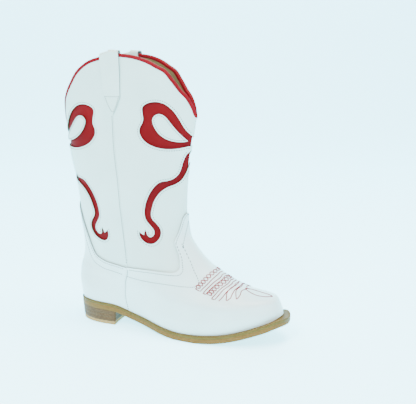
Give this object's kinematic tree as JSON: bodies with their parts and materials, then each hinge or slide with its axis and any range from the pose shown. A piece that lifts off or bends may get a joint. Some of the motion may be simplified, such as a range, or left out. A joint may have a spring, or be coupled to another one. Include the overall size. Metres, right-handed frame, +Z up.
{
  "type": "cowboy boot",
  "caption": "Pull-on western boot with a scalloped collar, bow-shaped leather inlays, rounded toe, welted leather sole and low stacked heel.",
  "frame": {"origin": "bottom centre of the box that holds the boot, on the surface it stands on", "axes": "+X from the heel towards the toe, +Y towards the wearer's inner side (this is a right boot), +Z up"},
  "size_m": [0.2926, 0.0926, 0.3369],
  "materials": {
    "shaft_leather": "smooth white full-grain, semi-matt",
    "vamp_leather": "smooth white full-grain, low sheen",
    "strap_leather": "smooth white full-grain, semi-matt",
    "red_inlay": "smooth red leather, semi-matt",
    "red_binding": "red leather tape, semi-matt",
    "lining_leather": "undyed lining leather, matt",
    "stiffener_board": "matt thermoplastic sheet",
    "insole_leather": "undyed board leather, matt",
    "shank_steel": "plain spring steel",
    "cork": "pressed cork, matt",
    "welt_leather": "waxed cut edge",
    "outsole_leather": "tan sole leather, waxed cut edge",
    "heel_stack": "stacked leather, waxed edge",
    "top_piece": "tan rubber, fine striped edge",
    "nail_steel": "plain wire nails"
  },
  "bodies": {
    "root": {"shaft_front": "shaft_leather", "shaft_back": "shaft_leather", "vamp": "vamp_leather", "counter_cover": "vamp_leather", "inlay_front": "red_inlay", "inlay_back": "red_inlay", "drop_front_inner": "shaft_leather", "drop_front_outer": "shaft_leather", "drop_back_outer": "shaft_leather", "drop_back_inner": "shaft_leather", "binding_front": "red_binding", "binding_back": "red_binding", "pull_strap_outer": "strap_leather", "pull_strap_inner": "strap_leather", "lining_front": "lining_leather", "lining_back": "lining_leather", "vamp_lining": "lining_leather", "toe_puff": "stiffener_board", "heel_stiffener": "stiffener_board", "insole_board": "insole_leather", "sock_liner": "lining_leather", "shank": "shank_steel", "forefoot_filler": "cork", "welt": "welt_leather", "outsole": "outsole_leather", "heel_lift_1": "heel_stack", "heel_lift_2": "heel_stack", "heel_lift_3": "heel_stack", "heel_top_piece": "top_piece", "heel_nail_1": "nail_steel", "heel_nail_2": "nail_steel", "heel_nail_3": "nail_steel", "heel_nail_4": "nail_steel", "heel_nail_5": "nail_steel"}
  },
  "joints": []
}
